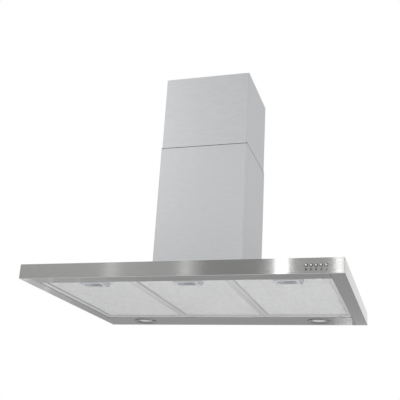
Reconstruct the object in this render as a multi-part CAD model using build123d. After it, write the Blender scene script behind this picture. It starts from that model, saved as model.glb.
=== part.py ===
from build123d import *
import os
from math import cos, radians, sin

# Island range hood, in millimetres. The origin is the centre of the ceiling plate's upper face,
# +X runs to the cook's right, +Y away from the cook and +Z up.

# Canopy
CANOPY_WIDTH = 900.0
CANOPY_DEPTH = 680.0
CANOPY_HEIGHT = 41.0
CANOPY_SHEET = 1.2
FOLD_RADIUS = 1.0
SIDE_STRIP = 37.0
FRONT_STRIP = 52.0
LAMP_STRIP = 128.0
STRIP_SEAM = 0.6
DECK_LEDGE = 14.0
LAMP_LIP = 12.0
SIDE_LIP = 8.0
HOOD_DROP = 710.0

# Chimney covers and the telescopic frame inside them
LOWER_COVER_WIDTH = 276.0
LOWER_COVER_DEPTH = 256.0
LOWER_COVER_HEIGHT = 425.0
COVER_SHEET = 1.0
COVER_GAP = 1.0
COVER_BEND = 2.5
COVER_OVERLAP = 190.0
COVER_TAB_WIDTH = 10.0
COVER_TAB_LENGTH = 160.0
COVER_TAB_SCREWS = 120.0
HEIGHT_TRAVEL = 150.0
RAIL_LEG = 25.0
RAIL_SHEET = 2.0
RAIL_GAP = 0.5
RAIL_HEADROOM = 127.0
RAIL_END = 27.0
FRAME_CLEARANCE = 8.5
LOCK_BOLT_RADIUS = 2.5
LOCK_HEAD_RADIUS = 4.5
LOCK_HEAD_HEIGHT = 3.5
LOCK_BOLT_TOP = 20.0
LOCK_BOLT_PITCH = 60.0
SLOT_CLEARANCE = 0.2

# Ceiling plate
PLATE_SHEET = 3.0
PLATE_GAP = 0.5
PLATE_CORNER = 3.0
MOUNT_SPACING_X = 200.0
MOUNT_SPACING_Y = 190.0
MOUNT_HOLE_RADIUS = 4.25
DUCT_PASSAGE_GAP = 8.0
CABLE_PASSAGE_RADIUS = 12.0
COVER_HOOK_WIDTH = 60.0
COVER_HOOK_DROP = 18.0
COVER_HOOK_SHEET = 2.0
COVER_HOOK_SCREWS = 40.0

# Blower
BOX_SHEET = 1.0
BOX_FLANGE = 10.0
SCROLL_CLEARANCE = 15.0
SCROLL_LIFT = 8.0
VOLUTE_SHEET = 2.0
VOLUTE_STEP = 4.5
VOLUTE_GAP = 6.0
TONGUE_ANGLE = 75.0
NECK_RISE = 42.0
NECK_FIT = 0.3
FAN_WIDTH = 84.0
FAN_SIDE_GAP = 4.0
BLADE_COUNT = 30
BLADE_DEPTH = 12.0
BLADE_SHEET = 1.2
BLADE_LEAN = 35.0
FAN_DISC = 2.5
FAN_RING = 2.0
HUB_RADIUS = 11.0
HUB_LENGTH = 15.0
INLET_RADIUS = 55.0
SHAFT_RADIUS = 4.0
SHAFT_FIT = 0.05
SHAFT_DEPTH = 44.0
MOTOR_RADIUS = 42.0
MOTOR_LENGTH = 60.0
MOTOR_GAP = 5.0
MOTOR_CHAMFER = 2.0
BRACKET_RING = 4.0
BRACKET_SHEET = 3.0
BRACKET_ARM = 12.0
BRACKET_REACH = 14.0
CAPACITOR_RADIUS = 15.0
CAPACITOR_LENGTH = 70.0
CAPACITOR_FOOT = 8.0
TOP_MARGIN = 4.0
TERMINAL_WIDTH = 38.0
TERMINAL_LENGTH = 100.0
TERMINAL_HEIGHT = 35.0
TERMINAL_WALL = 2.0
TERMINAL_SHIFT = -25.0
GLAND_SHIFT = -50.0
GLAND_THREAD = 6.0
GLAND_NUT = 9.5
GLAND_NUT_HEIGHT = 6.0
GLAND_DOME = 8.0
GLAND_DOME_HEIGHT = 11.0
GLAND_ROUND = 2.5
CABLE_RADIUS = 4.0

# Duct outlet and backdraught flaps
DUCT_RADIUS = 75.0
DUCT_OFFSET = 25.0
DUCT_WALL = 2.0
ADAPTER_HEIGHT = 35.0
COLLAR_HEIGHT = 60.0
COLLAR_FLANGE = 10.0
COLLAR_FLANGE_SHEET = 1.5
FLAP_HEIGHT = 20.0
FLAP_SHEET = 1.2
FLAP_GAP = 0.8
FLAP_PIN_RADIUS = 1.5
FLAP_KNUCKLE_RADIUS = 3.0
FLAP_EDGE = 3.5
FLAP_LEDGE = 4.0
FLAP_LEDGE_SHEET = 2.0
FLAP_REST_GAP = 0.3
FLAP_KNUCKLE_LENGTH = 36.0
FLAP_KNUCKLE_GAP = 2.0

# Grease filters with their handles and latches
FILTER_COUNT = 3
FILTER_GAP = 1.0
FILTER_FRONT_GAP = 1.5
FILTER_REAR_GAP = 2.0
FILTER_THICKNESS = 10.0
FILTER_BORDER = 10.5
FILTER_SHEET = 1.0
FILTER_RIM = 1.5
FILTER_DISH = 3.4
MESH_FIT = 0.2
MESH_RISE = 1.6
MESH_SHEET = 0.8
PIVOT_HEIGHT = 2.2
PIVOT_INSET = 1.0
PIVOT_RADIUS = 1.5
PIVOT_FIT = 0.1
PIVOT_SPREAD = 200.0
NOTCH_WIDTH = 12.0
NOTCH_REACH = 4.6
NOTCH_WALL = 1.4
HOOK_WIDTH = 8.0
HOOK_SHEET = 1.15
HANDLE_WIDTH = 74.0
HANDLE_LENGTH = 48.0
HANDLE_OFFSET = 20.0
HANDLE_SETBACK = 6.5
HANDLE_PROUD = 2.0
HANDLE_CORNER = 7.0
HANDLE_FIT = 0.2
RECESS_WIDTH = 50.0
RECESS_LENGTH = 30.0
RECESS_DEPTH = 7.0
RECESS_CORNER = 8.0
RECESS_FLOOR = 1.0
RECESS_SHIFT = 4.0
END_GROOVE_WIDTH = 2.4
END_GROOVE_LENGTH = 36.0
END_GROOVE_DEPTH = 3.0
END_GROOVE_INSET = 2.5
LATCH_WIDTH = 24.0
LATCH_SHEET = 2.0
LATCH_CAVITY = 6.4
LATCH_LID = 1.2
LATCH_FIT = 0.3
LATCH_REACH = 5.0
LATCH_TRAVEL = 6.0
GRIP_SHEET = 3.0
GRIP_SHORT = 1.2
SPRING_RADIUS = 2.5
SPRING_WIRE = 0.35
SPRING_LENGTH = 14.0
SPRING_TURNS = 6

# Lamps
LAMP_FROM_SIDE = 149.0
LAMP_HOLE_RADIUS = 30.0
LAMP_FIT = 0.2
BEZEL_RADIUS = 39.0
BEZEL_PROUD = 2.2
BEZEL_CHAMFER = 1.4
BEZEL_MOUTH_RADIUS = 36.0
BEZEL_SLEEVE = 3.8
BEZEL_SLEEVE_HEIGHT = 10.0
LENS_RECESS = 2.6
LENS_LEDGE = 4.0
LENS_LEDGE_SHEET = 1.0
LENS_SHEET = 3.0
LAMP_CAN_WALL = 1.2
LAMP_CAN_GAP = 0.5
LAMP_CAN_HEIGHT = 34.0
LAMP_CAN_FLANGE = 6.0
SOCKET_RADIUS = 7.0
SOCKET_HEIGHT = 8.0
CAPSULE_RADIUS = 4.5
CAPSULE_LENGTH = 9.0

# Push buttons
BUTTON_COUNT = 5
BUTTON_PITCH = 12.6
BUTTON_ROW_FROM_SIDE = 71.0
BUTTON_DROP = 18.7
BUTTON_RADIUS = 4.5
BUTTON_GAP = 0.3
BUTTON_PROUD = 3.0
BUTTON_EDGE = 2.4
BUTTON_TRAVEL = 2.5
BUTTON_SKIRT = 4.0
STEM_RADIUS = 2.0
STEM_ENTRY = 6.0
SWITCH_FRONT_GAP = 1.0
SWITCH_LENGTH = 18.0
SWITCH_HEIGHT = 18.0
SWITCH_END = 9.0
SWITCH_FOOT = 4.0

# Wiring from the terminal box to the switches and lamps
WIRE_RADIUS = 3.0
WIRE_FIT = 0.3
WIRE_BEND = 14.0
WIRE_PITCH = 9.0
WIRE_FRONT = 80.0
WIRE_REAR = 90.0
WIRE_TAIL = 12.0
WIRE_ENTRY = -55.0
WIRE_DEPTH = 20.0

# Screws
SCREW_RADIUS = 2.0
SCREW_HEAD_RADIUS = 3.5
SCREW_HEAD_HEIGHT = 2.2
SCREW_LENGTH = 6.0
BRACKET_SCREW_LENGTH = 4.5
LEDGE_SCREW_LENGTH = 2.2
COVER_SCREW_LENGTH = 3.0
SCREW_FIT = 0.1
LEDGE_SCREW_SPREAD = 600.0
RAIL_SCREW_FOOT = 30.0
RAIL_SCREW_TOP = 20.0


def block(x, y, z):
    """A box given by its spans along X, Y and Z."""
    middle = Pos((x[0] + x[1]) / 2, (y[0] + y[1]) / 2, (z[0] + z[1]) / 2)
    return middle * Box(x[1] - x[0], y[1] - y[0], z[1] - z[0])


def rod_x(x, y, z, radius):
    """A round bar along X, from x[0] to x[1]."""
    middle = Pos((x[0] + x[1]) / 2, y, z)
    return middle * Rot(0, 90, 0) * Cylinder(radius, x[1] - x[0])


def rod_y(x, y, z, radius):
    """A round bar along Y, from y[0] to y[1]."""
    middle = Pos(x, (y[0] + y[1]) / 2, z)
    return middle * Rot(90, 0, 0) * Cylinder(radius, y[1] - y[0])


def rod_z(x, y, z, radius):
    """A round bar along Z, from z[0] to z[1]."""
    return Pos(x, y, (z[0] + z[1]) / 2) * Cylinder(radius, z[1] - z[0])


def rounded_block(width, depth, corner, z, x=0.0, y=0.0):
    """A box with rounded upright edges, from z[0] to z[1]."""
    return Pos(x, y, z[0]) * extrude(RectangleRounded(width, depth, corner), z[1] - z[0])


def screw(place, length=SCREW_LENGTH):
    """A pan-head screw: its head bears on the plane's origin and its shank runs along the normal."""
    head = Pos(0, 0, -SCREW_HEAD_HEIGHT / 2) * Cylinder(SCREW_HEAD_RADIUS, SCREW_HEAD_HEIGHT)
    shank = Pos(0, 0, length / 2) * Cylinder(SCREW_RADIUS, length)
    return place * (head + shank)


def drilled(piece, places):
    """The piece with a clearance hole for a screw at each plane."""
    for place in places:
        piece -= place * Cylinder(SCREW_RADIUS + SCREW_FIT, 3 * SCREW_LENGTH)
    return piece


def four(x, y):
    """The four corners of a centred rectangle with half sizes x and y."""
    return [(x, y), (-x, y), (-x, -y), (x, -y)]


# Levels and faces that several pieces share
half_width = CANOPY_WIDTH / 2
half_depth = CANOPY_DEPTH / 2
under = -HOOD_DROP
under_top = under + CANOPY_SHEET
deck = under + CANOPY_HEIGHT
deck_under = deck - CANOPY_SHEET
ledge_under = deck_under - CANOPY_SHEET
face_x = half_width - CANOPY_SHEET
face_y = half_depth - CANOPY_SHEET
opening_x = half_width - SIDE_STRIP
opening_front = FRONT_STRIP - half_depth
opening_rear = half_depth - LAMP_STRIP
strip_x = opening_x - STRIP_SEAM

lower_cover_top = deck + LOWER_COVER_HEIGHT
upper_cover_end = lower_cover_top - COVER_OVERLAP
lower_inner_x = LOWER_COVER_WIDTH / 2 - COVER_SHEET
lower_inner_y = LOWER_COVER_DEPTH / 2 - COVER_SHEET
upper_outer_x = lower_inner_x - COVER_GAP
upper_outer_y = lower_inner_y - COVER_GAP
upper_inner_x = upper_outer_x - COVER_SHEET
upper_inner_y = upper_outer_y - COVER_SHEET
upper_rail_x = upper_inner_x - FRAME_CLEARANCE
upper_rail_y = upper_inner_y - FRAME_CLEARANCE
lower_rail_x = upper_rail_x - RAIL_SHEET - RAIL_GAP
lower_rail_y = upper_rail_y - RAIL_SHEET - RAIL_GAP
box_x = lower_rail_x - RAIL_SHEET
box_y = lower_rail_y - RAIL_SHEET
box_inner_x = box_x - BOX_SHEET
box_inner_y = box_y - BOX_SHEET
lower_rail_top = -PLATE_SHEET - RAIL_HEADROOM
lock_bolts_z = [lower_rail_top - LOCK_BOLT_TOP - n * LOCK_BOLT_PITCH for n in range(2)]
slot_radius = LOCK_BOLT_RADIUS + SLOT_CLEARANCE
slot_end = lock_bolts_z[-1] - HEIGHT_TRAVEL - slot_radius
upper_rail_end = slot_end - RAIL_END

# Volute: arcs about the corners of a small square, each wider than the last
tongue_radius = box_inner_y - SCROLL_CLEARANCE - 5 * VOLUTE_STEP - VOLUTE_SHEET
fan_radius = tongue_radius - VOLUTE_GAP
fan_y = SCROLL_CLEARANCE - box_inner_y + VOLUTE_SHEET + tongue_radius + 3 * VOLUTE_STEP
fan_z = deck + SCROLL_LIFT + VOLUTE_SHEET + tongue_radius + 5 * VOLUTE_STEP
box_top = fan_z + VOLUTE_STEP + tongue_radius + VOLUTE_SHEET + NECK_RISE
neck_x = FAN_WIDTH / 2 + FAN_SIDE_GAP
scroll_x = neck_x + VOLUTE_SHEET
neck_front = fan_y - VOLUTE_STEP + tongue_radius * cos(radians(TONGUE_ANGLE))
neck_rear = fan_y + 7 * VOLUTE_STEP + tongue_radius

collar_flange_top = box_top + COLLAR_FLANGE_SHEET
collar_base = box_top + ADAPTER_HEIGHT
collar_top = collar_base + COLLAR_HEIGHT
bore_radius = DUCT_RADIUS - DUCT_WALL
flap_z = collar_base + FLAP_HEIGHT
terminal_x = TOP_MARGIN - box_x + TERMINAL_WIDTH / 2
terminal_top = box_top + TERMINAL_HEIGHT
capacitor_x = box_x - TOP_MARGIN - CAPACITOR_RADIUS

# Filters
filter_bottom = under_top
filter_top = filter_bottom + FILTER_THICKNESS
filter_width = (2 * opening_x - (FILTER_COUNT + 1) * FILTER_GAP) / FILTER_COUNT
filter_pitch = filter_width + FILTER_GAP
filter_centres = [(n - (FILTER_COUNT - 1) / 2) * filter_pitch for n in range(FILTER_COUNT)]
filter_front = opening_front + FILTER_FRONT_GAP
filter_rear = opening_rear - FILTER_REAR_GAP
pivot_y = filter_rear - PIVOT_INSET
pivot_z = filter_bottom + PIVOT_HEIGHT
notch_front = pivot_y - NOTCH_REACH
bar_front = notch_front - NOTCH_WALL
handle_bottom = filter_bottom - HANDLE_PROUD
recess_top = handle_bottom + RECESS_DEPTH
cavity_bottom = recess_top + RECESS_FLOOR
cavity_top = cavity_bottom + LATCH_CAVITY
handle_top = cavity_top + LATCH_LID
handle_front = filter_front + HANDLE_SETBACK
handle_rear = handle_front + HANDLE_LENGTH
handle_y = (handle_front + handle_rear) / 2
latch_bottom = cavity_bottom + LATCH_FIT
latch_top = latch_bottom + LATCH_SHEET
front_lip_top = cavity_bottom
recess_rear = handle_y + RECESS_LENGTH / 2
grip_rear = recess_rear - LATCH_TRAVEL - LATCH_FIT
grip_front = grip_rear - GRIP_SHEET
latch_front = opening_front - LATCH_REACH
spring_rear = handle_rear - LATCH_LID
latch_rear = spring_rear - SPRING_LENGTH

# Lamps
lamp_centres = [LAMP_FROM_SIDE - half_width, half_width - LAMP_FROM_SIDE]
lamp_y = half_depth - LAMP_STRIP / 2
sleeve_outer = LAMP_HOLE_RADIUS - LAMP_FIT
sleeve_inner = sleeve_outer - BEZEL_SLEEVE
lens_bottom = under + LENS_RECESS
can_inner = LAMP_HOLE_RADIUS + LAMP_CAN_GAP
can_top = under_top + LAMP_CAN_HEIGHT

# Buttons
button_row = half_width - BUTTON_ROW_FROM_SIDE
button_z = deck - BUTTON_DROP
button_centres = [
    button_row + (n - (BUTTON_COUNT - 1) / 2) * BUTTON_PITCH for n in range(BUTTON_COUNT)
]
skirt_rear = BUTTON_SKIRT - face_y
switch_front = skirt_rear + BUTTON_TRAVEL + SWITCH_FRONT_GAP
switch_x = (button_centres[-1] - button_centres[0]) / 2 + SWITCH_END

# Wires rise side by side through the blower box into the terminal box
wire_places = [
    (terminal_x - WIRE_PITCH / 2, WIRE_ENTRY),
    (terminal_x - WIRE_PITCH / 2, WIRE_ENTRY + WIRE_PITCH),
    (terminal_x + WIRE_PITCH / 2, WIRE_ENTRY + WIRE_PITCH),
]

# Screw places, as planes whose normal is the way that the shank points
up = (0, 0, 1)
flange_screws = [
    Plane(origin=(x, y, deck_under), z_dir=up)
    for x, y in [
        (box_inner_x - BOX_FLANGE / 2, 0),
        (BOX_FLANGE / 2 - box_inner_x, 0),
        (0, box_inner_y - BOX_FLANGE / 2),
        (0, BOX_FLANGE / 2 - box_inner_y),
    ]
]
cover_tab_screws = [
    Plane(origin=(x, y, deck_under), z_dir=up)
    for x, y in four(lower_inner_x - COVER_TAB_WIDTH / 2, COVER_TAB_SCREWS / 2)
]
rail_screws = [
    Plane(origin=(x, y, z), z_dir=(-x, 0, 0))
    for x, y in four(lower_rail_x, lower_rail_y - RAIL_LEG / 2)
    for z in [deck + RAIL_SCREW_FOOT, box_top - RAIL_SCREW_TOP]
]
bracket_angles = [90, 210, 330]
bracket_radius = INLET_RADIUS + BRACKET_REACH / 2
bracket_screws = [
    Plane(
        origin=(
            scroll_x + BRACKET_SHEET,
            fan_y + bracket_radius * cos(radians(a)),
            fan_z + bracket_radius * sin(radians(a)),
        ),
        z_dir=(-1, 0, 0),
    )
    for a in bracket_angles
]
front_ledge_screws = [
    Plane(origin=(x, DECK_LEDGE / 2 - face_y, ledge_under), z_dir=up)
    for x in [-LEDGE_SCREW_SPREAD / 2, 0, LEDGE_SCREW_SPREAD / 2]
]
rear_ledge_screws = [
    Plane(origin=(x, face_y - DECK_LEDGE / 2, ledge_under), z_dir=up)
    for x in [-LEDGE_SCREW_SPREAD / 2, 0, LEDGE_SCREW_SPREAD / 2]
]
cover_hook_screws = [
    Plane(origin=(x, upper_outer_y, -PLATE_SHEET - COVER_HOOK_DROP / 2), z_dir=(0, -1, 0))
    for x in [-COVER_HOOK_SCREWS / 2, COVER_HOOK_SCREWS / 2]
]

pieces = {}

# Ceiling plate with the duct passage, the cable passage and four fixing holes
plate = rounded_block(
    2 * (upper_inner_x - PLATE_GAP), 2 * (upper_inner_y - PLATE_GAP), PLATE_CORNER, (-PLATE_SHEET, 0)
)
hook_face = upper_inner_y - PLATE_GAP
plate += block(
    (-COVER_HOOK_WIDTH / 2, COVER_HOOK_WIDTH / 2),
    (hook_face - COVER_HOOK_SHEET, hook_face),
    (-PLATE_SHEET - COVER_HOOK_DROP, -PLATE_SHEET),
)
plate -= rod_z(0, DUCT_OFFSET, (-PLATE_SHEET, 0), DUCT_RADIUS + DUCT_PASSAGE_GAP)
plate -= rod_z(terminal_x, GLAND_SHIFT, (-PLATE_SHEET, 0), CABLE_PASSAGE_RADIUS)
for x, y in four(MOUNT_SPACING_X / 2, MOUNT_SPACING_Y / 2):
    plate -= rod_z(x, y, (-PLATE_SHEET, 0), MOUNT_HOLE_RADIUS)
pieces["ceiling_plate"] = drilled(plate, cover_hook_screws)


def rails(x, y, z):
    """Four angle rails with their outer faces at x and y."""
    shapes = []
    for sx, sy in four(1, 1):
        wide = block(sorted((sx * x, sx * (x - RAIL_LEG))), sorted((sy * y, sy * (y - RAIL_SHEET))), z)
        deep = block(sorted((sx * x, sx * (x - RAIL_SHEET))), sorted((sy * y, sy * (y - RAIL_LEG))), z)
        shapes.append(wide + deep)
    return shapes


# Upper rails, slotted for the height-locking bolts that the lower rails carry
lock_bolt_y = lower_rail_y - RAIL_LEG / 2
slot_span = (slot_end, lock_bolts_z[0] + slot_radius)
upper_rails = []
for rail, (sx, sy) in zip(rails(upper_rail_x, upper_rail_y, (upper_rail_end, -PLATE_SHEET)), four(1, 1)):
    across = sorted((sx * upper_rail_x, sx * (upper_rail_x - RAIL_SHEET)))
    slot_y = sy * lock_bolt_y
    slot = block(across, (slot_y - slot_radius, slot_y + slot_radius), slot_span)
    upper_rails.append(rail - slot)
pieces["upper_frame_rails"] = Compound(children=upper_rails)

head_x = upper_rail_x + SLOT_CLEARANCE
lower_rails = []
lock_bolts = []
for rail, (sx, sy) in zip(rails(lower_rail_x, lower_rail_y, (deck, lower_rail_top)), four(1, 1)):
    for z in lock_bolts_z:
        across = sorted((sx * (lower_rail_x - RAIL_SHEET), sx * head_x))
        head = sorted((sx * head_x, sx * (head_x + LOCK_HEAD_HEIGHT)))
        rail -= rod_x(across, sy * lock_bolt_y, z, LOCK_BOLT_RADIUS + SHAFT_FIT)
        shank = rod_x(across, sy * lock_bolt_y, z, LOCK_BOLT_RADIUS)
        lock_bolts.append(shank + rod_x(head, sy * lock_bolt_y, z, LOCK_HEAD_RADIUS))
    lower_rails.append(drilled(rail, rail_screws))
pieces["lower_frame_rails"] = Compound(children=lower_rails)
pieces["height_lock_bolts"] = Compound(children=lock_bolts)


def tube(x, y, bend, z):
    """A folded square tube with outer half sizes x and y."""
    outside = rounded_block(2 * x, 2 * y, bend, z)
    inside = rounded_block(2 * (x - COVER_SHEET), 2 * (y - COVER_SHEET), bend - COVER_SHEET, z)
    return outside - inside


pieces["upper_chimney_cover"] = drilled(
    tube(upper_outer_x, upper_outer_y, COVER_BEND, (upper_cover_end, 0)), cover_hook_screws
)
lower_cover = tube(
    LOWER_COVER_WIDTH / 2, LOWER_COVER_DEPTH / 2, COVER_BEND + COVER_SHEET, (deck, lower_cover_top)
)
for side in [-1, 1]:
    lower_cover += block(
        sorted((side * lower_inner_x, side * (lower_inner_x - COVER_TAB_WIDTH))),
        (-COVER_TAB_LENGTH / 2, COVER_TAB_LENGTH / 2),
        (deck, deck + COVER_SHEET),
    )
pieces["lower_chimney_cover"] = drilled(lower_cover, cover_tab_screws)

# Canopy deck, with the air opening under the blower box
deck_plate = block((-face_x, face_x), (-face_y, face_y), (deck_under, deck))
deck_plate -= block(
    (BOX_FLANGE - box_inner_x, box_inner_x - BOX_FLANGE),
    (BOX_FLANGE - box_inner_y, box_inner_y - BOX_FLANGE),
    (deck_under, deck),
)
deck_plate = drilled(deck_plate, flange_screws + cover_tab_screws)
for place in front_ledge_screws + rear_ledge_screws:
    deck_plate -= place * Pos(0, 0, LEDGE_SCREW_LENGTH / 2) * Cylinder(
        SCREW_RADIUS + SCREW_FIT, LEDGE_SCREW_LENGTH
    )
pieces["top_deck"] = deck_plate

# Fascias: each a folded channel with its face, its strip underneath and a ledge for the deck
height = (under, deck)
ledge = (ledge_under, deck_under)
strip = (under, under_top)
front = block((-half_width, half_width), (-half_depth, -face_y), height)
front += block((-strip_x, strip_x), (-half_depth, opening_front), strip)
front += block((-strip_x, strip_x), (opening_front - CANOPY_SHEET, opening_front), (under, front_lip_top))
front += block((-strip_x, strip_x), (-half_depth, DECK_LEDGE - face_y), ledge)
front = fillet(front.faces().sort_by(Axis.Y)[0].edges().sort_by(Axis.Z)[:-1], FOLD_RADIUS)
for x in button_centres:
    front -= rod_y(x, (-half_depth, -face_y), button_z, BUTTON_RADIUS + BUTTON_GAP)
pieces["front_fascia"] = drilled(front, front_ledge_screws)

rear = block((-half_width, half_width), (face_y, half_depth), height)
rear += block((-strip_x, strip_x), (face_y - DECK_LEDGE, half_depth), ledge)
rear += block((-strip_x, strip_x), (face_y - DECK_LEDGE, half_depth), (under_top, under_top + CANOPY_SHEET))
rear = fillet(rear.faces().sort_by(Axis.Y)[-1].edges().sort_by(Axis.Z)[:-1], FOLD_RADIUS)
pieces["rear_fascia"] = drilled(rear, rear_ledge_screws)

for name, side in [("left_fascia", -1), ("right_fascia", 1)]:
    along = (-face_y, face_y)
    channel = block(sorted((side * face_x, side * half_width)), along, height)
    channel += block(sorted((side * opening_x, side * half_width)), along, strip)
    channel += block(sorted((side * (face_x - DECK_LEDGE), side * half_width)), along, ledge)
    channel += block(
        sorted((side * opening_x, side * (opening_x + CANOPY_SHEET))),
        (opening_front, opening_rear),
        (under, under + SIDE_LIP),
    )
    outer_face = channel.faces().sort_by(Axis.X)[0 if side < 0 else -1]
    pieces[name] = fillet(outer_face.edges().sort_by(Axis.Z)[:1], FOLD_RADIUS)

# Lamp panel behind the filters, with its lip for the filter hooks
panel = block((-strip_x, strip_x), (opening_rear, face_y), strip)
panel += block((-strip_x, strip_x), (opening_rear, opening_rear + CANOPY_SHEET), (under, under + LAMP_LIP))
for x in lamp_centres:
    panel -= rod_z(x, lamp_y, strip, LAMP_HOLE_RADIUS)
pieces["lamp_panel"] = panel

hooks = []
for centre in filter_centres:
    for x in [centre - PIVOT_SPREAD / 2, centre + PIVOT_SPREAD / 2]:
        span = (x - HOOK_WIDTH / 2, x + HOOK_WIDTH / 2)
        cup = PIVOT_RADIUS + PIVOT_FIT
        hook = block(span, (pivot_y - cup - HOOK_SHEET, opening_rear), (pivot_z - cup - HOOK_SHEET, pivot_z))
        hook += block(span, (opening_rear - HOOK_SHEET, opening_rear), (pivot_z, under + LAMP_LIP))
        hooks.append(hook - rod_x(span, pivot_y, pivot_z, cup))
pieces["filter_hooks"] = Compound(children=hooks)

# Lamps: dished bezel, frosted lens, can and capsule bulb
bezel_outline = Polyline(
    (BEZEL_RADIUS, 0),
    (BEZEL_RADIUS, BEZEL_CHAMFER - BEZEL_PROUD),
    (BEZEL_RADIUS - BEZEL_CHAMFER, -BEZEL_PROUD),
    (BEZEL_MOUTH_RADIUS, -BEZEL_PROUD),
    (sleeve_inner - LENS_LEDGE, LENS_RECESS - LENS_LEDGE_SHEET),
    (sleeve_inner - LENS_LEDGE, LENS_RECESS),
    (sleeve_inner, LENS_RECESS),
    (sleeve_inner, BEZEL_SLEEVE_HEIGHT),
    (sleeve_outer, BEZEL_SLEEVE_HEIGHT),
    (sleeve_outer, 0),
    close=True,
)
bezel = revolve(Plane.XZ * make_face(bezel_outline), Axis.Z)
for side, x in zip(["left", "right"], lamp_centres):
    pieces["lamp_bezel_" + side] = Pos(x, lamp_y, under) * bezel
    pieces["lamp_lens_" + side] = rod_z(
        x, lamp_y, (lens_bottom, lens_bottom + LENS_SHEET), sleeve_inner - LAMP_FIT
    )
    can_outer = can_inner + LAMP_CAN_WALL
    can = rod_z(x, lamp_y, (under_top, can_top), can_outer)
    can += rod_z(x, lamp_y, (under_top, under_top + LAMP_CAN_WALL), can_outer + LAMP_CAN_FLANGE)
    pieces["lamp_can_" + side] = can - rod_z(x, lamp_y, (under_top, can_top - LAMP_CAN_WALL), can_inner)
    socket_top = can_top - LAMP_CAN_WALL
    capsule_top = socket_top - SOCKET_HEIGHT
    bulb = rod_z(x, lamp_y, (capsule_top, socket_top), SOCKET_RADIUS)
    bulb += rod_z(x, lamp_y, (capsule_top - CAPSULE_LENGTH, capsule_top), CAPSULE_RADIUS)
    bulb += Pos(x, lamp_y, capsule_top - CAPSULE_LENGTH) * Sphere(CAPSULE_RADIUS)
    pieces["lamp_bulb_" + side] = bulb

# Push buttons and the switch block behind them
stem_rear = switch_front + STEM_ENTRY
for number, x in enumerate(button_centres, 1):
    cap = rod_y(x, (-half_depth - BUTTON_PROUD, skirt_rear), button_z, BUTTON_RADIUS)
    cap = fillet(cap.edges().sort_by(Axis.Y)[:1], BUTTON_EDGE)
    stem = rod_y(x, (skirt_rear, stem_rear), button_z, STEM_RADIUS)
    pieces[f"button_{number}"] = cap + stem
switch_rear = switch_front + SWITCH_LENGTH
switch_span = (button_row - switch_x, button_row + switch_x)
switch_z = (button_z - SWITCH_HEIGHT / 2, button_z + SWITCH_HEIGHT / 2)
switch = block(switch_span, (switch_front, switch_rear), switch_z)
for foot in [(switch_span[0], switch_span[0] + SWITCH_FOOT), (switch_span[1] - SWITCH_FOOT, switch_span[1])]:
    switch += block(foot, (-face_y, switch_front), switch_z)
for x in button_centres:
    bore_end = stem_rear + BUTTON_TRAVEL + BUTTON_GAP
    switch -= rod_y(x, (switch_front, bore_end), button_z, STEM_RADIUS + BUTTON_GAP)
pieces["switch_block"] = switch

# Blower box, open below, with an opening for the neck of the scroll in its top
box = block((-box_x, box_x), (-box_y, box_y), (deck, box_top))
box -= block(
    (-box_inner_x, box_inner_x), (-box_inner_y, box_inner_y), (deck + BOX_SHEET, box_top - BOX_SHEET)
)
box -= block(
    (BOX_FLANGE - box_inner_x, box_inner_x - BOX_FLANGE),
    (BOX_FLANGE - box_inner_y, box_inner_y - BOX_FLANGE),
    (deck, deck + BOX_SHEET),
)
neck_margin = VOLUTE_SHEET + NECK_FIT
box -= block(
    (-neck_x - neck_margin, neck_x + neck_margin),
    (neck_front - neck_margin, neck_rear + neck_margin),
    (box_top - BOX_SHEET, box_top),
)
for x, y in wire_places:
    box -= rod_z(x, y, (box_top - BOX_SHEET, box_top), WIRE_RADIUS + WIRE_FIT)
pieces["blower_box"] = drilled(box, flange_screws + rail_screws)


def volute(grow):
    """The scroll's outline in the YZ plane, grown by a wall."""
    step = VOLUTE_STEP
    inner = tongue_radius + grow
    tongue_y = neck_front - fan_y - grow
    tongue_z = step + (inner**2 - (tongue_y + step) ** 2) ** 0.5
    mouth = box_top - fan_z
    middle = radians((90 + TONGUE_ANGLE) / 2)
    diagonal = cos(radians(45))
    crown = (-step, step + inner)
    left = (-3 * step - inner, -step)
    bottom = (step, -5 * step - inner)
    right = (7 * step + inner, step)
    first = (-step + inner * cos(middle), step + inner * sin(middle))
    second = (-step - (inner + 2 * step) * diagonal, -step + (inner + 2 * step) * diagonal)
    third = (step - (inner + 4 * step) * diagonal, -step - (inner + 4 * step) * diagonal)
    fourth = (step + (inner + 6 * step) * diagonal, step - (inner + 6 * step) * diagonal)
    outline = [
        ThreePointArc((tongue_y, tongue_z), first, crown),
        ThreePointArc(crown, second, left),
        ThreePointArc(left, third, bottom),
        ThreePointArc(bottom, fourth, right),
        Line(right, (right[0], mouth)),
        Line((right[0], mouth), (tongue_y, mouth)),
        Line((tongue_y, mouth), (tongue_y, tongue_z)),
    ]
    return Pos(0, fan_y, fan_z) * (Plane.YZ * make_face(outline))


for name, side in [("scroll_left", -1), ("scroll_right", 1)]:
    shell = extrude(volute(VOLUTE_SHEET), side * scroll_x)
    shell -= extrude(volute(0), side * neck_x)
    shell -= rod_x(sorted((0, side * scroll_x)), fan_y, fan_z, INLET_RADIUS)
    pieces[name] = drilled(shell, bracket_screws) if side > 0 else shell

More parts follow.
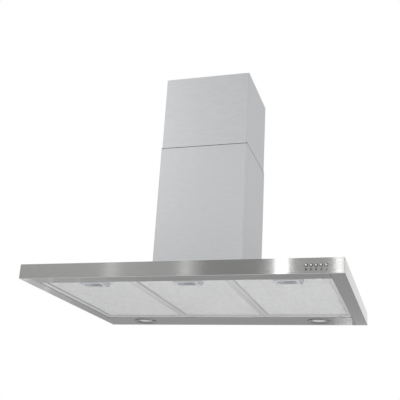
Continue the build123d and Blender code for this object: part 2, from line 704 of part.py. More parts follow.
# Impeller: leaning blades between two end rings, seated in the slots of a middle disc on the motor's shaft
shaft_front = FAN_DISC / 2 - HUB_LENGTH
motor_front = FAN_DISC / 2 + MOTOR_GAP
shaft_span = (shaft_front, motor_front + SHAFT_DEPTH)
blade_radius = fan_radius - BLADE_DEPTH / 2
blade = Box(FAN_WIDTH - 2 * FAN_RING, BLADE_DEPTH, BLADE_SHEET)
blade = Pos(0, blade_radius, 0) * Rot(BLADE_LEAN, 0, 0) * blade
blades = [Pos(0, fan_y, fan_z) * Rot(n * 360 / BLADE_COUNT, 0, 0) * blade for n in range(BLADE_COUNT)]
fan_disc = rod_x((-FAN_DISC / 2, FAN_DISC / 2), fan_y, fan_z, blade_radius)
fan_disc += rod_x((shaft_front, FAN_DISC / 2), fan_y, fan_z, HUB_RADIUS)
fan_disc -= rod_x(shaft_span, fan_y, fan_z, SHAFT_RADIUS + SHAFT_FIT)
fan_disc -= blades
fan_rings = []
for side in [-1, 1]:
    span = sorted((side * FAN_WIDTH / 2, side * (FAN_WIDTH / 2 - FAN_RING)))
    hole = rod_x(span, fan_y, fan_z, fan_radius - BLADE_DEPTH)
    fan_rings.append(rod_x(span, fan_y, fan_z, fan_radius) - hole)
pieces["impeller"] = Compound(children=[fan_disc, *fan_rings, *blades])
pieces["motor_shaft"] = rod_x(shaft_span, fan_y, fan_z, SHAFT_RADIUS)

# Motor inside the impeller, carried by a three-armed bracket on the scroll
motor_rear = motor_front + MOTOR_LENGTH
motor = rod_x((motor_front, motor_rear), fan_y, fan_z, MOTOR_RADIUS)
motor = chamfer(motor.edges().filter_by(GeomType.CIRCLE), MOTOR_CHAMFER)
motor -= rod_x((motor_front, motor_front + SHAFT_DEPTH), fan_y, fan_z, SHAFT_RADIUS + SHAFT_FIT)
pieces["motor"] = motor
ring_span = (scroll_x, scroll_x + BRACKET_SHEET)
bracket = rod_x(ring_span, fan_y, fan_z, MOTOR_RADIUS + BRACKET_RING)
for angle in bracket_angles:
    arm = block(ring_span, (0, INLET_RADIUS + BRACKET_REACH), (-BRACKET_ARM / 2, BRACKET_ARM / 2))
    bracket += Pos(0, fan_y, fan_z) * Rot(angle, 0, 0) * arm
bracket -= rod_x(ring_span, fan_y, fan_z, MOTOR_RADIUS + SHAFT_FIT)
pieces["motor_bracket"] = drilled(bracket, bracket_screws)

# Capacitor, terminal box with its lid and the cable gland, all on top of the blower box
capacitor_z = box_top + CAPACITOR_RADIUS
capacitor_span = (-CAPACITOR_LENGTH / 2, CAPACITOR_LENGTH / 2)
capacitor = rod_y(capacitor_x, capacitor_span, capacitor_z, CAPACITOR_RADIUS)
capacitor += block(
    (capacitor_x - CAPACITOR_FOOT, capacitor_x + CAPACITOR_FOOT), capacitor_span, (box_top, capacitor_z)
)
pieces["capacitor"] = capacitor
tray_x = (terminal_x - TERMINAL_WIDTH / 2, terminal_x + TERMINAL_WIDTH / 2)
tray_y = (TERMINAL_SHIFT - TERMINAL_LENGTH / 2, TERMINAL_SHIFT + TERMINAL_LENGTH / 2)
tray = block(tray_x, tray_y, (box_top, terminal_top))
tray -= block(
    (tray_x[0] + TERMINAL_WALL, tray_x[1] - TERMINAL_WALL),
    (tray_y[0] + TERMINAL_WALL, tray_y[1] - TERMINAL_WALL),
    (box_top + TERMINAL_WALL, terminal_top),
)
for x, y in wire_places:
    tray -= rod_z(x, y, (box_top, box_top + TERMINAL_WALL), WIRE_RADIUS + WIRE_FIT)
pieces["terminal_box"] = tray
lid_top = terminal_top + TERMINAL_WALL
lid_span = (terminal_top, lid_top)
lid = block(tray_x, tray_y, lid_span)
lid -= rod_z(terminal_x, GLAND_SHIFT, lid_span, GLAND_THREAD + SHAFT_FIT)
pieces["terminal_box_lid"] = lid
nut_top = lid_top + GLAND_NUT_HEIGHT
gland_end = terminal_top - TERMINAL_WALL
gland_top = nut_top + GLAND_DOME_HEIGHT
gland = rod_z(terminal_x, GLAND_SHIFT, (gland_end, lid_top), GLAND_THREAD)
gland += Pos(terminal_x, GLAND_SHIFT, lid_top) * extrude(RegularPolygon(GLAND_NUT, 6), GLAND_NUT_HEIGHT)
gland += rod_z(terminal_x, GLAND_SHIFT, (nut_top, gland_top), GLAND_DOME)
gland = fillet(gland.edges().sort_by(Axis.Z)[-1:], GLAND_ROUND)
gland -= rod_z(terminal_x, GLAND_SHIFT, (gland_end, gland_top), CABLE_RADIUS)
pieces["cable_gland"] = gland

# Wires: one to the switch block and one to each lamp, with rounded bends
wire_z = deck - WIRE_DEPTH
wire_top = box_top + TERMINAL_WALL + WIRE_TAIL
can_front = lamp_y - can_inner - LAMP_CAN_WALL
runs = [
    (button_row, switch_rear, switch_rear + WIRE_FRONT),
    (lamp_centres[0], can_front, can_front - WIRE_REAR),
    (lamp_centres[1], can_front, can_front - WIRE_REAR + 2 * WIRE_PITCH),
]
wires = []
for (x, start_y, turn_y), (rise_x, rise_y) in zip(runs, wire_places):
    corners = [(x, start_y), (x, turn_y), (rise_x, turn_y), (rise_x, rise_y)]
    path = FilletPolyline(
        *[(cx, cy, wire_z) for cx, cy in corners], (rise_x, rise_y, wire_top), radius=WIRE_BEND
    )
    start = Plane(origin=path @ 0, z_dir=path % 0)
    wires.append(sweep(start * Circle(WIRE_RADIUS), path=path))
pieces["wiring"] = Compound(children=wires)

# Outlet: a flanged adapter from the neck's rectangle to the round duct collar
neck_y = (neck_front + neck_rear) / 2


def adapter(grow):
    """The passage from the neck to the collar, grown by a wall."""
    mouth = Pos(0, neck_y, box_top) * Rectangle(2 * (neck_x + grow), neck_rear - neck_front + 2 * grow)
    return loft([mouth, Pos(0, DUCT_OFFSET, collar_base) * Circle(bore_radius + grow)])


flange_margin = DUCT_WALL + COLLAR_FLANGE
collar = block(
    (-neck_x - flange_margin, neck_x + flange_margin),
    (neck_front - flange_margin, neck_rear + flange_margin),
    (box_top, collar_flange_top),
)
collar += adapter(DUCT_WALL)
collar += rod_z(0, DUCT_OFFSET, (collar_base, collar_top), DUCT_RADIUS)
collar -= adapter(0)
collar -= rod_z(0, DUCT_OFFSET, (collar_base, collar_top), bore_radius)
ledge_top = flap_z - FLAP_SHEET / 2 - FLAP_REST_GAP
ledge_span = (ledge_top - FLAP_LEDGE_SHEET, ledge_top)
ring = rod_z(0, DUCT_OFFSET, ledge_span, bore_radius)
ring -= rod_z(0, DUCT_OFFSET, ledge_span, bore_radius - FLAP_LEDGE)
ring -= block(
    (-DUCT_RADIUS, DUCT_RADIUS), (DUCT_OFFSET - 2 * FLAP_EDGE, DUCT_OFFSET + 2 * FLAP_EDGE), ledge_span
)
collar += ring
pin_span = (-DUCT_RADIUS, DUCT_RADIUS)
collar -= rod_x(pin_span, DUCT_OFFSET, flap_z, FLAP_PIN_RADIUS + SHAFT_FIT)
pieces["outlet_collar"] = collar
pieces["damper_pin"] = rod_x(pin_span, DUCT_OFFSET, flap_z, FLAP_PIN_RADIUS)

outer_knuckle = FLAP_KNUCKLE_LENGTH / 2 + FLAP_KNUCKLE_GAP
front_knuckles = [
    (-outer_knuckle - FLAP_KNUCKLE_LENGTH / 2, -outer_knuckle),
    (outer_knuckle, outer_knuckle + FLAP_KNUCKLE_LENGTH / 2),
]
rear_knuckles = [(-FLAP_KNUCKLE_LENGTH / 2, FLAP_KNUCKLE_LENGTH / 2)]
for name, side, knuckles in [
    ("damper_flap_front", -1, front_knuckles),
    ("damper_flap_rear", 1, rear_knuckles),
]:
    sheet = (flap_z - FLAP_SHEET / 2, flap_z + FLAP_SHEET / 2)
    flap = rod_z(0, DUCT_OFFSET, sheet, bore_radius - FLAP_GAP)
    half = sorted((DUCT_OFFSET + side * FLAP_EDGE, DUCT_OFFSET + side * DUCT_RADIUS))
    flap &= block((-DUCT_RADIUS, DUCT_RADIUS), half, sheet)
    for span in knuckles:
        flap += block(span, sorted((DUCT_OFFSET, DUCT_OFFSET + side * 2 * FLAP_EDGE)), sheet)
        flap += rod_x(span, DUCT_OFFSET, flap_z, FLAP_KNUCKLE_RADIUS)
    for span in knuckles:
        flap -= rod_x(span, DUCT_OFFSET, flap_z, FLAP_PIN_RADIUS + SHAFT_FIT)
    pieces[name] = flap

# Grease filters, each with its mesh, handle, sliding latch and latch spring
filter_z = (filter_bottom, filter_top)
half_filter = filter_width / 2
filter_length = filter_rear - filter_front
filter_y = (filter_front + filter_rear) / 2
for number, centre in enumerate(filter_centres, 1):
    handle_x = centre + HANDLE_OFFSET
    across = (centre - half_filter, centre + half_filter)
    border = FILTER_BORDER
    frame = block(across, (filter_front, filter_rear), filter_z)
    frame -= block(
        (across[0] + border, across[1] - border), (filter_front + border, filter_rear - border), filter_z
    )
    dish_top = filter_bottom + FILTER_DISH
    dish_mouth = Rectangle(filter_width - 2 * FILTER_RIM, filter_length - 2 * FILTER_RIM)
    dish_end = Rectangle(filter_width - 2 * border, filter_length - 2 * border)
    dish = Pos(centre, filter_y, filter_bottom) * loft([dish_mouth, Pos(0, 0, FILTER_DISH) * dish_end])
    groove_x = (across[0] + FILTER_SHEET, across[1] - FILTER_SHEET)
    groove_y = (filter_front + FILTER_SHEET, bar_front)
    groove_z = (filter_bottom + FILTER_SHEET, filter_top - FILTER_SHEET)
    frame -= block(groove_x, groove_y, groove_z) - Pos(0, 0, FILTER_SHEET) * dish
    frame -= dish
    frame -= rounded_block(
        HANDLE_WIDTH + 2 * HANDLE_FIT,
        HANDLE_LENGTH + 2 * HANDLE_FIT,
        HANDLE_CORNER,
        filter_z,
        handle_x,
        handle_y,
    )
    frame -= block(
        (handle_x - LATCH_WIDTH / 2 - LATCH_FIT, handle_x + LATCH_WIDTH / 2 + LATCH_FIT),
        (filter_front, handle_y),
        (latch_bottom - LATCH_FIT, filter_top),
    )
    for x in [centre - PIVOT_SPREAD / 2, centre + PIVOT_SPREAD / 2]:
        notch = (x - NOTCH_WIDTH / 2, x + NOTCH_WIDTH / 2)
        frame -= block(notch, (notch_front, filter_rear), filter_z)
        frame += rod_x(notch, pivot_y, pivot_z, PIVOT_RADIUS)
    pieces[f"filter_frame_{number}"] = frame

    layers = []
    for low in [dish_top + FILTER_SHEET + MESH_RISE, groove_z[1] - MESH_FIT - MESH_SHEET]:
        layer = block(
            (groove_x[0] + MESH_FIT, groove_x[1] - MESH_FIT),
            (groove_y[0] + MESH_FIT, groove_y[1] - MESH_FIT),
            (low, low + MESH_SHEET),
        )
        layer -= rounded_block(
            HANDLE_WIDTH + 4 * HANDLE_FIT,
            HANDLE_LENGTH + 4 * HANDLE_FIT,
            HANDLE_CORNER,
            filter_z,
            handle_x,
            handle_y,
        )
        layer -= block(
            (handle_x - LATCH_WIDTH / 2 - 2 * LATCH_FIT, handle_x + LATCH_WIDTH / 2 + 2 * LATCH_FIT),
            (filter_front, handle_y),
            filter_z,
        )
        layers.append(layer)
    pieces[f"filter_mesh_{number}"] = Compound(children=layers)

    slide = (handle_x - LATCH_WIDTH / 2, handle_x + LATCH_WIDTH / 2)
    guide = (slide[0] - LATCH_FIT, slide[1] + LATCH_FIT)
    handle_z = (handle_bottom, handle_top)
    handle = rounded_block(HANDLE_WIDTH, HANDLE_LENGTH, HANDLE_CORNER, handle_z, handle_x, handle_y)
    handle -= rounded_block(
        RECESS_WIDTH,
        RECESS_LENGTH,
        RECESS_CORNER,
        (handle_bottom, recess_top),
        handle_x - RECESS_SHIFT,
        handle_y,
    )
    handle -= block(guide, (handle_front, spring_rear), (cavity_bottom, cavity_top))
    grip_slot = (grip_front - LATCH_FIT, grip_rear + LATCH_TRAVEL + LATCH_FIT)
    handle -= block(guide, grip_slot, (recess_top, cavity_bottom))
    groove_end = handle_x + HANDLE_WIDTH / 2 - END_GROOVE_INSET
    handle -= block(
        (groove_end - END_GROOVE_WIDTH, groove_end),
        (handle_y - END_GROOVE_LENGTH / 2, handle_y + END_GROOVE_LENGTH / 2),
        (handle_bottom, handle_bottom + END_GROOVE_DEPTH),
    )
    pieces[f"filter_handle_{number}"] = handle

    latch = block(slide, (latch_front, latch_rear), (latch_bottom, latch_top))
    latch += block(slide, (latch_rear - LATCH_SHEET, latch_rear), (latch_bottom, cavity_top - LATCH_FIT))
    latch += block(slide, (grip_front, grip_rear), (handle_bottom + GRIP_SHORT, latch_bottom))
    pieces[f"filter_latch_{number}"] = latch

    coil_length = SPRING_LENGTH - 2 * SPRING_WIRE
    coil = Helix(coil_length / SPRING_TURNS, coil_length, SPRING_RADIUS - SPRING_WIRE)
    start = Plane(origin=coil @ 0, z_dir=coil % 0)
    wire = sweep(start * Circle(SPRING_WIRE), path=coil)
    spring_z = (latch_bottom + cavity_top) / 2
    spring_place = Pos(handle_x, latch_rear + SPRING_WIRE, spring_z) * Rot(-90, 0, 0)
    pieces[f"latch_spring_{number}"] = spring_place * wire

# Screws
screws = [screw(place) for place in flange_screws + cover_tab_screws + rail_screws]
screws += [screw(place, BRACKET_SCREW_LENGTH) for place in bracket_screws]
screws += [screw(place, LEDGE_SCREW_LENGTH) for place in front_ledge_screws + rear_ledge_screws]
pieces["hood_screws"] = Compound(children=screws)
cover_screws = [screw(place, COVER_SCREW_LENGTH) for place in cover_hook_screws]
pieces["upper_cover_screws"] = Compound(children=cover_screws)

os.makedirs("parts", exist_ok=True)
for name, piece in pieces.items():
    export_step(piece, f"parts/{name}.step")
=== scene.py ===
import bpy
from math import cos, pi, radians
from mathutils import Matrix, Vector


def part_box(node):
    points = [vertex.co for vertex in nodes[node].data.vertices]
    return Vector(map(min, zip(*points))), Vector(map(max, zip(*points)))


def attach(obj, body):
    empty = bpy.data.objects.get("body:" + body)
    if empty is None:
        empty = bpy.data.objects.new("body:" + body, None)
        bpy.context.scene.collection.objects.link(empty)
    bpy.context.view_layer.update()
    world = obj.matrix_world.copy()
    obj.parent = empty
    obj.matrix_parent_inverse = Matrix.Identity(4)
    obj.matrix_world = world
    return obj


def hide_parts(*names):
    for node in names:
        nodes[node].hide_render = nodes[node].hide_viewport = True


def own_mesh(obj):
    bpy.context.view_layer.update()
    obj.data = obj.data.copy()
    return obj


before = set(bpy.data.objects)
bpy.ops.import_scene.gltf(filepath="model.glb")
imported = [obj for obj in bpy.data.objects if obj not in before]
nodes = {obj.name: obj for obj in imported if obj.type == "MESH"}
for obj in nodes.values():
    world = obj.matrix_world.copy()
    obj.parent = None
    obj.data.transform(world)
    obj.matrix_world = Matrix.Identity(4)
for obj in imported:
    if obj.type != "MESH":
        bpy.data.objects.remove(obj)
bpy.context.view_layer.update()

# Numbered pieces, and the corners of a square in turn
FILTERS = (1, 2, 3)
BUTTONS = (1, 2, 3, 4, 5)
CORNERS = ((-1, -1), (1, -1), (1, 1), (-1, 1))

# Camera, fitted to the canopy's corners in the photograph
CAMERA_PLACE = (0.6356, -2.1292, -1.1752)
CAMERA_YAW = 17.64
CAMERA_PITCH = 19.75
CAMERA_ROLL = -3.43
CAMERA_LENS = 66.74
SENSOR_WIDTH = 36.0

# Studio: floor, glow of the room, and the half angles of the brighter backdrop
FLOOR_LEVEL = -1.62
FLOOR_HALF = 30.0
FLOOR_COLOR = (0.62, 0.62, 0.62)
STUDIO_ROUGHNESS = 0.9
ROOM_GLOW = 0.72
BACKDROP_FULL = 20.5
BACKDROP_EDGE = 29.0

# Grey card behind the camera
CARD_MIDDLE = (-0.7025, -3.6, 0.15)
CARD_HALF_WIDTH = 0.2275
CARD_HALF_HEIGHT = 0.55
CARD_COLOR = (0.68, 0.68, 0.68)

# Upright bands of light that the front face reflects: place along X, width and glow
BAND_Y = -3.5
BAND_Z = 0.155
BAND_HEIGHT = 1.3
BANDS = {
    "white band": (-0.315, 0.065, 6.0),
    "end band": (0.086, 0.048, 3.3),
    "soft band": (-1.02, 0.09, 0.6),
    "far band": (-1.60, 0.09, 0.5),
}

# Noise on the surfaces: scales along the axes, detail and height of the relief
FINE = (900, 900, 900)
BRUSH_ALONG = 4
BRUSH_ACROSS = 900
BRUSH_SPREAD = 0.03
STREAKS_ALONG = 40
MESH_TONE = 0.16
MESH_TONE_SCALE = (110, 110, 110)
GRAIN_DETAIL = 3.0
TONE_DETAIL = 2.0
RELIEF_HEIGHT = 0.0002

# Brushed steel
CANOPY_STEEL = {
    "color": (0.41, 0.41, 0.405),
    "roughness": 0.13,
    "anisotropy": 1.0,
    "depth": 0.05,
    "tone": 0.10,
    "streaks": 300,
}
CHIMNEY_STEEL = {
    "color": (0.64, 0.65, 0.665),
    "roughness": 0.38,
    "anisotropy": 0.5,
    "depth": 0.04,
    "tone": 0.07,
    "streaks": 250,
}

# Push buttons: how squarely caps and rims face the front, and their colours; the rims' dark colour is
# painted shade
CAP_FACING = 0.95
RIM_FACING = 0.85
CAP_COLOR = (0.55, 0.55, 0.55)
RIM_SHADE_COLOR = (0.10, 0.10, 0.10)

# Other finishes: colour, share of metal, roughness, spread of the roughness and depth of the grain
FINISHES = {
    "zinc steel": ((0.55, 0.57, 0.59), 1.0, 0.45, 0.08, 0.05),
    "screw steel": ((0.70, 0.71, 0.73), 1.0, 0.30, 0.05, 0.02),
    "filter aluminium": ((0.60, 0.60, 0.60), 0.3, 0.45, 0.06, 0.03),
    "mesh aluminium": ((0.95, 0.95, 0.945), 0.62, 0.42, 0.06, 0.02),
    "mesh backing": ((0.60, 0.61, 0.62), 0.7, 0.60, 0.10, 0.30),
    "handle plastic": ((0.465, 0.47, 0.49), 0.0, 0.42, 0.06, 0.05),
    "latch plastic": ((0.34, 0.35, 0.38), 0.0, 0.42, 0.06, 0.05),
    "button chrome": (CAP_COLOR, 1.0, 0.24, 0.03, 0.01),
    "bezel steel": ((0.36, 0.36, 0.36), 1.0, 0.26, 0.04, 0.02),
    "lamp can": ((0.75, 0.75, 0.74), 0.6, 0.40, 0.05, 0.02),
    "black plastic": ((0.045, 0.045, 0.05), 0.0, 0.45, 0.08, 0.08),
    # The dark finish of the handle strips is painted shadow
    "groove shadow black": ((0.03, 0.03, 0.032), 0.0, 0.60, 0.08, 0.05),
    "motor metal": ((0.40, 0.41, 0.43), 0.9, 0.45, 0.06, 0.04),
    "wire sleeve": ((0.05, 0.05, 0.055), 0.0, 0.60, 0.08, 0.05),
    "mark ink": ((0.07, 0.07, 0.07), 0.0, 0.50, 0.05, 0.01),
    "frosted glass": ((0.62, 0.62, 0.615), 0.0, 0.35, 0.05, 0.05),
}

# Faint glow of the frosted lamp glass
GLASS_GLOW_COLOR = (1.0, 1.0, 0.98)
GLASS_GLOW = 0.05

# Finish of each CAD piece
PAINTED = {
    "canopy steel across": ["front_fascia", "rear_fascia", "top_deck", "lamp_panel"],
    "canopy steel front to back": ["left_fascia", "right_fascia"],
    "chimney steel": ["lower_chimney_cover", "upper_chimney_cover"],
    "zinc steel": [
        "ceiling_plate", "upper_frame_rails", "lower_frame_rails",
        "blower_box", "motor_bracket", "filter_hooks",
    ],
    "screw steel": [
        "height_lock_bolts", "hood_screws", "upper_cover_screws", "damper_pin", "motor_shaft",
        *(f"latch_spring_{number}" for number in FILTERS),
    ],
    "filter aluminium": [f"filter_frame_{number}" for number in FILTERS],
    "mesh backing": [f"filter_mesh_{number}" for number in FILTERS],
    "handle plastic": [f"filter_handle_{number}" for number in FILTERS],
    "latch plastic": [f"filter_latch_{number}" for number in FILTERS],
    "button chrome": [f"button_{number}" for number in BUTTONS],
    "bezel steel": ["lamp_bezel_left", "lamp_bezel_right"],
    "frosted glass": ["lamp_lens_left", "lamp_lens_right", "lamp_bulb_left", "lamp_bulb_right"],
    "lamp can": ["lamp_can_left", "lamp_can_right"],
    "black plastic": [
        "scroll_left", "scroll_right", "impeller", "outlet_collar", "damper_flap_front",
        "damper_flap_rear", "switch_block", "terminal_box", "terminal_box_lid", "cable_gland",
    ],
    "motor metal": ["motor", "capacitor"],
    "wire sleeve": ["wiring"],
}

# Expanded aluminium mesh of the grease filters
CELL_LENGTH = 0.0080
ROW_PITCH = 0.0024
STRAND_WIDTH = 0.0013
STRAND_HEIGHT = 0.0007
STRAND_TILT = 0.00025
MESH_MARGIN = 0.0008
HANDLE_MARGIN = 0.0006
FILTER_BORDER = 0.0105

# Dark strip in the groove at the end of each filter handle, as painted shadow in the groove
GROOVE_INSET = 0.0025
GROOVE_WIDTH = 0.0024
GROOVE_LENGTH = 0.036
GROOVE_DEPTH = 0.003
GROOVE_LEFT = 0.00005
EDGE_SOFTNESS = 0.0002

# Dark strip in the gap between the two chimney covers, a painted shadow along the seam, and the gap left
# around strips
STRIP_ABOVE = 0.0024
STRIP_BELOW = 0.0030
SIDE_LIP = 0.0021
COVER_SHEET = 0.001
STRIP_GAP = 0.0001

# Marks below the push buttons
MARK_DROP = 0.0112
MARK_HALF = 0.0028
MARK_LINE = 0.0014
MARK_FILL = 0.7
MARK_LIFT = 0.00006


def shader_of(made):
    """A material's main shader."""
    return made.node_tree.nodes["Principled BSDF"]


def principled(name, color, metallic, roughness):
    """A new material with plain settings."""
    made = bpy.data.materials.new(name)
    made.use_nodes = True
    shader = shader_of(made)
    shader.inputs["Base Color"].default_value = (*color, 1)
    shader.inputs["Metallic"].default_value = metallic
    shader.inputs["Roughness"].default_value = roughness
    return made


def noise_over(tree, scale, detail):
    """Noise over an object's own coordinates, stretched by scale along each axis."""
    place = tree.nodes.new("ShaderNodeTexCoord")
    stretch = tree.nodes.new("ShaderNodeMapping")
    stretch.inputs["Scale"].default_value = scale
    noise = tree.nodes.new("ShaderNodeTexNoise")
    noise.inputs["Scale"].default_value = 1.0
    noise.inputs["Detail"].default_value = detail
    tree.links.new(place.outputs["Object"], stretch.inputs["Vector"])
    tree.links.new(stretch.outputs["Vector"], noise.inputs["Vector"])
    return noise.outputs["Fac"]


def mixed_color(made, factor, first, second):
    """Mixes two colours by a factor into a material's colour."""
    tree = made.node_tree
    shades = tree.nodes.new("ShaderNodeMix")
    shades.data_type = "RGBA"
    shades.inputs["A"].default_value = (*first, 1)
    shades.inputs["B"].default_value = (*second, 1)
    tree.links.new(factor, shades.inputs["Factor"])
    tree.links.new(shades.outputs["Result"], shader_of(made).inputs["Base Color"])


def grained(name, color, metallic, roughness, spread, depth, scale=FINE):
    """A material whose noise varies its roughness and relief."""
    made = principled(name, color, metallic, roughness)
    shader = shader_of(made)
    tree = made.node_tree
    noise = noise_over(tree, scale, GRAIN_DETAIL)
    ends = tree.nodes.new("ShaderNodeMapRange")
    ends.inputs["To Min"].default_value = roughness - spread
    ends.inputs["To Max"].default_value = roughness + spread
    relief = tree.nodes.new("ShaderNodeBump")
    relief.inputs["Strength"].default_value = depth
    relief.inputs["Distance"].default_value = RELIEF_HEIGHT
    tree.links.new(noise, ends.inputs["Value"])
    tree.links.new(ends.outputs["Result"], shader.inputs["Roughness"])
    tree.links.new(noise, relief.inputs["Height"])
    tree.links.new(relief.outputs["Normal"], shader.inputs["Normal"])
    return made


def toned(made, spread, scale):
    """Lets noise lighten and darken a material's colour."""
    color = shader_of(made).inputs["Base Color"].default_value[:3]
    darker = [(1 - spread) * part for part in color]
    lighter = [(1 + spread) * part for part in color]
    mixed_color(made, noise_over(made.node_tree, scale, TONE_DETAIL), darker, lighter)


def brushed(name, along, color, roughness, anisotropy, depth, tone, streaks):
    """Steel brushed along an axis: fine streaks, and reflections drawn out across them."""
    scale = [BRUSH_ALONG if axis == along else BRUSH_ACROSS for axis in "XYZ"]
    made = grained(name, color, 1.0, roughness, BRUSH_SPREAD, depth, scale)
    toned(made, tone, [STREAKS_ALONG if axis == along else streaks for axis in "XYZ"])
    across = made.node_tree.nodes.new("ShaderNodeCombineXYZ")
    for axis in "XYZ":
        across.inputs[axis].default_value = 0.0 if axis == along else 1.0
    made.node_tree.links.new(across.outputs["Vector"], shader_of(made).inputs["Tangent"])
    shader_of(made).inputs["Anisotropic"].default_value = anisotropy
    return made


def painted_rim_shade(made):
    """Paints shade on the faces that don't look squarely to the front, darkening them."""
    tree = made.node_tree
    facing = tree.nodes.new("ShaderNodeNewGeometry")
    parts = tree.nodes.new("ShaderNodeSeparateXYZ")
    rim = tree.nodes.new("ShaderNodeMapRange")
    rim.inputs["From Min"].default_value = -CAP_FACING
    rim.inputs["From Max"].default_value = -RIM_FACING
    tree.links.new(facing.outputs["True Normal"], parts.inputs["Vector"])
    tree.links.new(parts.outputs["Y"], rim.inputs["Value"])
    mixed_color(made, rim.outputs["Result"], CAP_COLOR, RIM_SHADE_COLOR)


def one_sided(made):
    """Makes a material show on the front of its faces only."""
    tree = made.node_tree
    side = tree.nodes.new("ShaderNodeNewGeometry")
    clear = tree.nodes.new("ShaderNodeBsdfTransparent")
    choose = tree.nodes.new("ShaderNodeMixShader")
    tree.links.new(side.outputs["Backfacing"], choose.inputs["Fac"])
    tree.links.new(shader_of(made).outputs["BSDF"], choose.inputs[1])
    tree.links.new(clear.outputs["BSDF"], choose.inputs[2])
    tree.links.new(choose.outputs["Shader"], tree.nodes["Material Output"].inputs["Surface"])


def mesh_object(name, verts, faces, made):
    """A new object from plain vertices and faces."""
    data = bpy.data.meshes.new(name)
    data.from_pydata(verts, [], faces)
    data.update()
    made_object = bpy.data.objects.new(name, data)
    bpy.context.scene.collection.objects.link(made_object)
    data.materials.append(made)
    return made_object


def block_object(name, low, high, made):
    """A new bar between two corners, with its edges softened."""
    verts = [(x, y, z) for x in (low[0], high[0]) for y in (low[1], high[1]) for z in (low[2], high[2])]
    faces = [(0, 1, 3, 2), (4, 6, 7, 5), (0, 4, 5, 1), (2, 3, 7, 6), (0, 2, 6, 4), (1, 5, 7, 3)]
    made_object = mesh_object(name, verts, faces, made)
    soften = made_object.modifiers.new("soften", "BEVEL")
    soften.width = EDGE_SOFTNESS
    soften.segments = 2
    return made_object


finishes = {name: grained(name, *settings) for name, settings in FINISHES.items()}
finishes["canopy steel across"] = brushed("canopy steel across", "X", **CANOPY_STEEL)
finishes["canopy steel front to back"] = brushed("canopy steel front to back", "Y", **CANOPY_STEEL)
finishes["chimney steel"] = brushed("chimney steel", "X", **CHIMNEY_STEEL)
toned(finishes["mesh aluminium"], MESH_TONE, MESH_TONE_SCALE)
# Painted shade on the sides of the push buttons
painted_rim_shade(finishes["button chrome"])
glass = shader_of(finishes["frosted glass"])
glass.inputs["Emission Color"].default_value = (*GLASS_GLOW_COLOR, 1)
glass.inputs["Emission Strength"].default_value = GLASS_GLOW

for finish, names in PAINTED.items():
    for name in names:
        nodes[name].data.materials.clear()
        nodes[name].data.materials.append(finishes[finish])


def strand(run, low, high, verts, faces):
    """Adds one strand of the mesh: a thin tilted bar along a run of points."""
    half = STRAND_WIDTH / 2
    first = len(verts)
    for x, y in run:
        verts.append((x, y - half, low))
        verts.append((x, y + half, low + STRAND_TILT))
        verts.append((x, y + half, high))
        verts.append((x, y - half, high - STRAND_TILT))
    last = len(verts) - 4
    for n in range(first, last, 4):
        for side in range(4):
            after = (side + 1) % 4
            faces.append((n + side, n + after, n + 4 + after, n + 4 + side))
    faces.append((first + 3, first + 2, first + 1, first))
    faces.append((last, last + 1, last + 2, last + 3))


def expanded_mesh(name, x_span, y_span, low, hole, made):
    """Expanded metal: rows of zigzag strands that meet their neighbours, cut away at a hole."""
    columns = round(2 * (x_span[1] - x_span[0]) / CELL_LENGTH)
    rows = round((y_span[1] - y_span[0]) / ROW_PITCH)
    step = (x_span[1] - x_span[0]) / columns
    pitch = (y_span[1] - y_span[0]) / rows
    swing = (pitch - STRAND_WIDTH) / 2
    verts, faces = [], []
    for row in range(rows):
        middle = y_span[0] + (row + 0.5) * pitch
        runs = [[]]
        for column in range(columns + 1):
            x = x_span[0] + column * step
            if hole[0][0] < x < hole[1][0] and hole[0][1] < middle < hole[1][1]:
                runs.append([])
            else:
                runs[-1].append((x, middle + swing * (-1) ** (row + column)))
        for run in runs:
            if len(run) > 1:
                strand(run, low, low + STRAND_HEIGHT, verts, faces)
    return mesh_object(name, verts, faces, made)


# Woven faces of the grease filters
for number in FILTERS:
    low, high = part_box(f"filter_frame_{number}")
    edge = FILTER_BORDER + MESH_MARGIN
    x_span = (low[0] + edge, high[0] - edge)
    y_span = (low[1] + edge, high[1] - edge)
    handle_low, handle_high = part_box(f"filter_handle_{number}")
    hole = (
        (handle_low[0] - HANDLE_MARGIN, handle_low[1] - HANDLE_MARGIN),
        (handle_high[0] + HANDLE_MARGIN, handle_high[1] + HANDLE_MARGIN),
    )
    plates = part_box(f"filter_mesh_{number}")
    for face, level in (("lower", plates[0][2] - STRAND_HEIGHT), ("upper", plates[1][2])):
        name = f"filter_weave_{face}_{number}"
        weave = expanded_mesh(name, x_span, y_span, level, hole, finishes["mesh aluminium"])
        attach(weave, f"filter_{number}")

# Dark strip in the groove at the right end of each filter handle: painted shadow of the groove
for number in FILTERS:
    low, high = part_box(f"filter_handle_{number}")
    middle = (low[1] + high[1]) / 2
    right = high[0] - GROOVE_INSET
    half_length = GROOVE_LENGTH / 2 - STRIP_GAP
    strip = block_object(
        f"handle_groove_shadow_{number}",
        (right - GROOVE_WIDTH + STRIP_GAP, middle - half_length, low[2] + GROOVE_LEFT),
        (right - STRIP_GAP, middle + half_length, low[2] + GROOVE_DEPTH),
        finishes["groove shadow black"],
    )
    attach(strip, f"filter_{number}")

# Latch springs, as copies that move with their filters, in place of the CAD springs
for number in FILTERS:
    node = f"latch_spring_{number}"
    low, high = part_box(node)
    spring = bpy.data.objects.new(f"squeezed_spring_{number}", nodes[node].data.copy())
    bpy.context.scene.collection.objects.link(spring)
    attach(spring, f"filter_{number}")
    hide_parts(node)
    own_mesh(spring)


def grown(box, by, levels):
    """A box made wider and deeper by the same measure on every side, between two levels."""
    low, high = box
    return (low[0] - by, low[1] - by, levels[0]), (high[0] + by, high[1] + by, levels[1])


